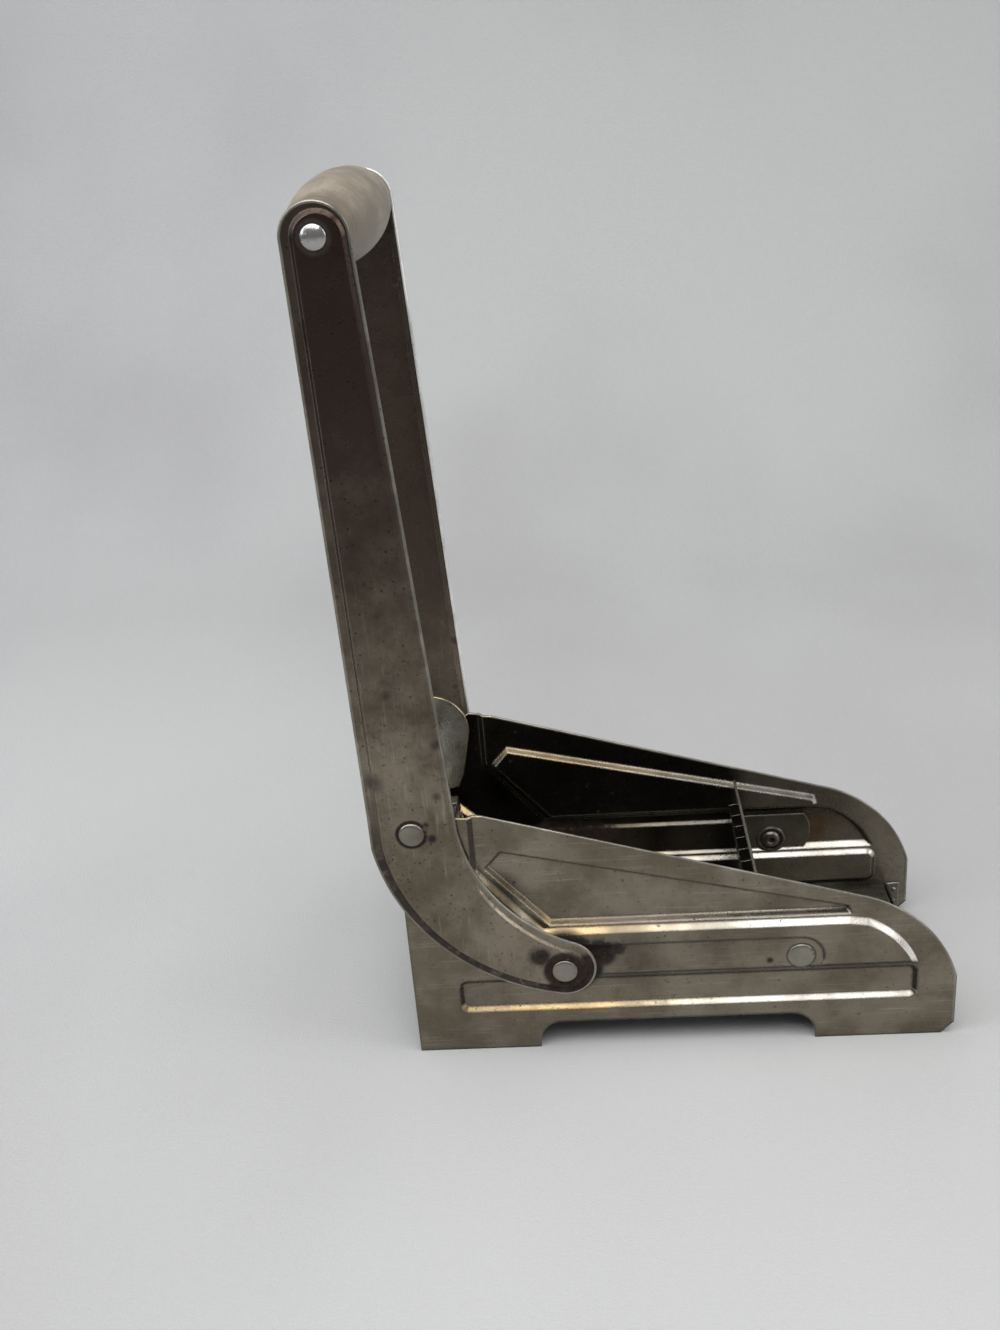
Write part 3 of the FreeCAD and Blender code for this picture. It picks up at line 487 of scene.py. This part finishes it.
def barrelProfile(shape):
    half, end, ease = shape["half"], shape["endRadius"], shape["ease"]
    sag = shape["middleRadius"] - end
    curve = (half**2 + sag**2) / (2 * sag)
    profile = [(shape["bore"], -half), (end - ease, -half), (end - 0.35, -half + 0.3)]
    for i in range(1, shape["rings"]):
        y = -half + ease + 2 * (half - ease) * i / shape["rings"]
        radius = shape["middleRadius"] - curve + math.sqrt(curve**2 - y * y)
        for groove in shape["grooves"]:
            radius -= shape["grooveDepth"] * math.exp(-(((abs(y) - groove) / shape["grooveWidth"]) ** 2))
        profile.append((radius, y))
    return profile + [(end - 0.35, half - 0.3), (end - ease, half), (shape["bore"], half)]


barrel = lathe(barrelProfile(gripShape), grip, 1, gripShape["sides"])
finishPiece("gripBarrel", barrel, gripMaterial, "grip", ["grip"])
print("stage: rivets and grip turned")


# Rolled edges: thin beads along the outlines of the walls and of the lever's arms, in millimetres.
def bulge(a, b, sag):
    length = math.dist(a, b)
    return (
        (a[0] + b[0]) / 2 - (b[1] - a[1]) / length * sag,
        (a[1] + b[1]) / 2 + (b[0] - a[0]) / length * sag,
    )


def arcPoints(a, through, b, count=20):
    (ax, az), (bx, bz), (cx, cz) = a, through, b
    turn = 2 * (ax * (bz - cz) + bx * (cz - az) + cx * (az - bz))
    a2, b2, c2 = ax * ax + az * az, bx * bx + bz * bz, cx * cx + cz * cz
    ux = (a2 * (bz - cz) + b2 * (cz - az) + c2 * (az - bz)) / turn
    uz = (a2 * (cx - bx) + b2 * (ax - cx) + c2 * (bx - ax)) / turn
    radius = math.dist(a, (ux, uz))
    start = math.atan2(az - uz, ax - ux)
    span = math.atan2(cz - uz, cx - ux) - start
    if turn > 0:
        span = span % (2 * math.pi)
    else:
        span = -((-span) % (2 * math.pi))
    turns = [start + span * i / count for i in range(1, count + 1)]
    return [(ux + radius * math.cos(t), uz + radius * math.sin(t)) for t in turns]


def straight(a, b, count=12):
    return [(a[0] + (b[0] - a[0]) * i / count, a[1] + (b[1] - a[1]) * i / count) for i in range(1, count + 1)]


def bead(points, radius, closed):
    curve = bpy.data.curves.new("bead", "CURVE")
    curve.dimensions = "3D"
    curve.bevel_depth = radius / 1000
    curve.bevel_resolution = 3
    curve.use_fill_caps = True
    spline = curve.splines.new("POLY")
    spline.points.add(len(points) - 1)
    for point, place in zip(spline.points, points):
        point.co = (*place, 1.0)
    spline.use_cyclic_u = closed
    holder = bpy.data.objects.new("bead", curve)
    bpy.context.scene.collection.objects.link(holder)
    mesh = bpy.data.meshes.new_from_object(holder.evaluated_get(bpy.context.evaluated_depsgraph_get()))
    bpy.data.objects.remove(holder)
    build = bmesh.new()
    build.from_mesh(mesh)
    bmesh.ops.remove_doubles(build, verts=build.verts, dist=1e-6)
    bmesh.ops.recalc_face_normals(build, faces=build.faces)
    build.to_mesh(mesh)
    build.free()
    return mesh


wallBead = {
    "radius": 0.68, "level": 49.5, "rearTop": (38.2, 125.0), "noseTop": (207.7, 74.6),
    "noseFront": (246.25, 32.0), "noseSag": 7.0, "footTop": (246.25, 6.4),
}
armBead = {
    "radius": 0.85, "level": 53.95, "innerFace": 53.2, "topRadius": 12.3, "endRadius": 13.6,
    "back": (-9.7, 114.0), "backSag": 17.5, "front": (27.2, 121.0), "frontSag": -10.5, "endLean": 0.3,
}


def wallLine(shape):
    top, front = shape["noseTop"], shape["noseFront"]
    points = [shape["rearTop"]] + straight(shape["rearTop"], top, 16)
    points += arcPoints(top, bulge(top, front, shape["noseSag"]), front)
    return points + straight(front, shape["footTop"], 6)


def armLine(shape):
    topRadius, endRadius, lean = shape["topRadius"], shape["endRadius"], shape["endLean"]
    across, along = endRadius * lean, endRadius * math.sqrt(1 - lean**2)
    low, high = (pivot[0] - across, pivot[1] - along), (pivot[0] + across, pivot[1] + along)
    back, front = shape["back"], shape["front"]
    left, right = (grip[0] - topRadius, grip[1]), (grip[0] + topRadius, grip[1])
    points = arcPoints(left, (grip[0], grip[1] + topRadius), right, 28) + straight(right, front, 30)
    points += arcPoints(front, bulge(front, high, shape["frontSag"]), high, 28)
    points += arcPoints(high, (pivot[0] + endRadius, pivot[1]), low, 24)
    points += arcPoints(low, bulge(low, back, shape["backSag"]), back, 28)
    return points + straight(back, left, 30)


def splayed(x, z, y):
    # The arm's upper part turns outwards about the bend line on its inner face.
    if z <= bendZ:
        return x, z, y
    inner = armBead["innerFace"]
    dy, dz = y - inner, z - bendZ
    turnedZ = bendZ + dz * math.cos(splay) - dy * math.sin(splay)
    return x, turnedZ, inner + dy * math.cos(splay) + dz * math.sin(splay)


for sideName, side in (("near", -1), ("far", 1)):
    path = [at(x, z, wallBead["level"] * side) for x, z in wallLine(wallBead)]
    edge = bead(path, wallBead["radius"], False)
    finishPiece(f"{sideName}WallEdge", edge, steels["nearRim"], "body")
    path = []
    for x, z in armLine(armBead):
        x, z, y = splayed(x, z, armBead["level"])
        path.append(at(x, z, y * side))
    edge = bead(path, armBead["radius"], True)
    finishPiece(f"{sideName}ArmEdge", edge, steels[f"{sideName}Rim"], "lever")
print("stage: rolled edges laid")

# Pressed seats round the grid's rivets on the tabs, as (radius, y) round the rivet.
seat = [(5.2, 49.12), (6.0, 48.75), (6.9, 48.7), (7.6, 49.12)]
for sideName, side in (("near", -1), ("far", 1)):
    finishPiece(f"{sideName}TabSeat", lathe(seat, tabRivet, side), steels["tab"], "body")


# Spot welds in rows where the cross pieces' flanges meet the walls, by Geometry Nodes.
def weldTree(material):
    tree = bpy.data.node_groups.new("weldRow", "GeometryNodeTree")
    tree.interface.new_socket("Geometry", in_out="OUTPUT", socket_type="NodeSocketGeometry")
    for label, kind in (
        ("Count", "Int"), ("Radius", "Float"), ("Start", "Vector"), ("Spacing", "Vector"), ("Flat", "Vector"),
    ):
        tree.interface.new_socket(label, in_out="INPUT", socket_type=f"NodeSocket{kind}")
    given = addNode(tree, "NodeGroupInput").outputs
    line = addNode(tree, "GeometryNodeMeshLine", {
        "Count": given["Count"], "Start Location": given["Start"], "Offset": given["Spacing"],
    }, mode="OFFSET")
    ball = addNode(tree, "GeometryNodeMeshUVSphere", {"Segments": 20, "Rings": 10, "Radius": given["Radius"]})
    dots = addNode(tree, "GeometryNodeInstanceOnPoints", {
        "Points": line.outputs[0], "Instance": ball.outputs[0], "Scale": given["Flat"],
    })
    real = addNode(tree, "GeometryNodeRealizeInstances", {0: dots.outputs[0]})
    painted = addNode(tree, "GeometryNodeSetMaterial", {"Geometry": real.outputs[0], "Material": material})
    addNode(tree, "NodeGroupOutput", {0: painted.outputs[0]})
    return tree


def weldRow(name, tree, values):
    holder = bpy.data.objects.new("weldHolder", bpy.data.meshes.new("weldHolder"))
    bpy.context.scene.collection.objects.link(holder)
    modifier = holder.modifiers.new("welds", "NODES")
    modifier.node_group = tree
    for item in tree.interface.items_tree:
        if item.in_out == "INPUT" and item.name in values:
            modifier[item.identifier] = values[item.name]
    mesh = bpy.data.meshes.new_from_object(holder.evaluated_get(bpy.context.evaluated_depsgraph_get()))
    bpy.data.objects.remove(holder)
    return finishPiece(name, mesh, steels["frame"], "body")


weldRows = {
    "BackWelds": {"Count": 4, "Radius": 0.0017, "place": (7.2, 26), "pitch": 0.009},
    "FrontWelds": {"Count": 2, "Radius": 0.0014, "place": (240.4, 7), "pitch": 0.007},
}
welds = weldTree(steels["frame"])
for sideName, side in (("near", -1), ("far", 1)):
    for rowName, row in weldRows.items():
        weldRow(f"{sideName}{rowName}", welds, {
            "Count": row["Count"], "Radius": row["Radius"], "Start": at(*row["place"], 47.95 * side),
            "Spacing": Vector((0, 0, row["pitch"])), "Flat": Vector((1, 0.25, 1)),
        })
print("stage: seats and welds placed")

# A pale cotton sheet, drawn flat, that curves up into the backdrop. Its folds are as wide as a hand
# is long, and its weave is drawn at 1.1 mm, coarser than real threads, so that it shows.
clothLook = {"dark": "#a6a6a7", "light": "#b1b2b2", "folds": 450, "weave": 1.1, "foldHeight": 6.0}
clothShape = {"front": -3.0, "back": 0.55, "curve": 0.5, "top": 3.2, "half": 3.5, "steps": 16}
material, tree, coords, parts = newMaterial("paleCloth")
folds = noise(tree, coords, clothLook["folds"], 3, 0.5, (1, 0.6, 1))
weave = noise(tree, coords, clothLook["weave"], 2, 0.5)
# Painted shade: the cloth's colour follows the fold pattern that drives its bump, darker in the folds' low parts.
colour = mixColour(tree, fade(tree, folds, 0.35, 0.65), clothLook["dark"], clothLook["light"])
height = calc(tree, "ADD", product(tree, folds, clothLook["foldHeight"]), weave)
bump = addNode(tree, "ShaderNodeBump", {"Strength": 0.25, "Distance": 0.002, "Height": height}).outputs[0]
shader = addNode(tree, "ShaderNodeBsdfPrincipled", {"Base Color": colour, "Roughness": 0.95, "Normal": bump})
addNode(tree, "ShaderNodeOutputMaterial", {0: shader.outputs[0]})
build = bmesh.new()
backY, curve = clothShape["back"], clothShape["curve"]
profile = [(clothShape["front"], 0.0), (backY, 0.0)]
for i in range(1, clothShape["steps"] + 1):
    turn = math.pi / 2 * i / clothShape["steps"]
    profile.append((backY + curve * math.sin(turn), curve - curve * math.cos(turn)))
profile.append((backY + curve, clothShape["top"]))
rows = [[build.verts.new((x, y, z)) for x in (-clothShape["half"], clothShape["half"])] for y, z in profile]
for a, b in zip(rows, rows[1:]):
    build.faces.new((a[0], a[1], b[1], b[0]))
floorMesh = bpy.data.meshes.new("floor")
build.to_mesh(floorMesh)
build.free()
floorMesh.materials.append(material)
floorMesh.shade_smooth()
floor = bpy.data.objects.new("floor", floorMesh)
bpy.context.scene.collection.objects.link(floor)

# Soft light: a broad ceiling panel, a window on the left, a paler one on the right, and a dim room.
# Each lamp has its place, what it points at, its two sizes in metres, its watts and its tint.
for name, place, target, sizes, energy, tint in (
    ("ceiling", (-0.15, -0.45, 1.5), (0, 0, 0.1), (1.9, 1.5), 34.0, "#fbf9f6"),
    ("window", (-1.5, -0.35, 1.0), (0, 0, 0.15), (0.9, 1.1), 12.0, "#eef2fb"),
    ("side", (1.3, -0.35, 0.75), (0, 0, 0.15), (0.7, 1.0), 8.0, "#ffffff"),
):
    light = bpy.data.lights.new(name, "AREA")
    light.shape = "RECTANGLE"
    light.size, light.size_y = sizes
    light.energy = energy
    light.color = linear(tint)[:3]
    lamp = bpy.data.objects.new(name, light)
    lamp.location = place
    lamp.rotation_euler = (Vector(target) - Vector(place)).to_track_quat("-Z", "Y").to_euler()
    bpy.context.scene.collection.objects.link(lamp)

world = bpy.data.worlds.new("room")
world.use_nodes = True
tree = world.node_tree
tree.nodes.clear()
sky = addNode(tree, "ShaderNodeBackground", {"Color": linear("#b9bcc2"), "Strength": 0.38})
addNode(tree, "ShaderNodeOutputWorld", {0: sky.outputs[0]})
scene = bpy.context.scene
scene.world = world
scene.view_settings.view_transform = "Standard"

# The photograph's camera, fitted to the tool's outline: turns in radians, the lens in pixels of the
# photograph's longer side, and the place in millimetres from the body's back edge.
cameraFit = {
    "yaw": 0.0734419, "pitch": 0.4146792, "roll": -0.0831999, "lensPixels": 1400.36, "longSide": 1330,
    "sensor": 36.0, "place": (91.195, -578.816, 430.318),
}
yaw, pitch, roll = cameraFit["yaw"], cameraFit["pitch"], cameraFit["roll"]
ahead = Vector((-math.sin(yaw) * math.cos(pitch), math.cos(yaw) * math.cos(pitch), -math.sin(pitch)))
across = Vector((math.cos(yaw), math.sin(yaw), 0))
above = across.cross(ahead)
rightWay = math.cos(roll) * across + math.sin(roll) * above
upWay = -math.sin(roll) * across + math.cos(roll) * above
camera = bpy.data.cameras.new("camera")
camera.sensor_width = cameraFit["sensor"]
camera.lens = cameraFit["lensPixels"] / cameraFit["longSide"] * cameraFit["sensor"]
camera.clip_start = 0.01
cameraObject = bpy.data.objects.new("camera", camera)
placeX, placeY, placeZ = cameraFit["place"]
spot = at(placeX, placeZ, placeY)
cameraObject.matrix_world = Matrix((
    (rightWay.x, upWay.x, -ahead.x, spot.x),
    (rightWay.y, upWay.y, -ahead.y, spot.y),
    (rightWay.z, upWay.z, -ahead.z, spot.z),
    (0, 0, 0, 1),
))
scene.collection.objects.link(cameraObject)
scene.camera = cameraObject
print("stage: camera and light set")

bpy.context.view_layer.update()
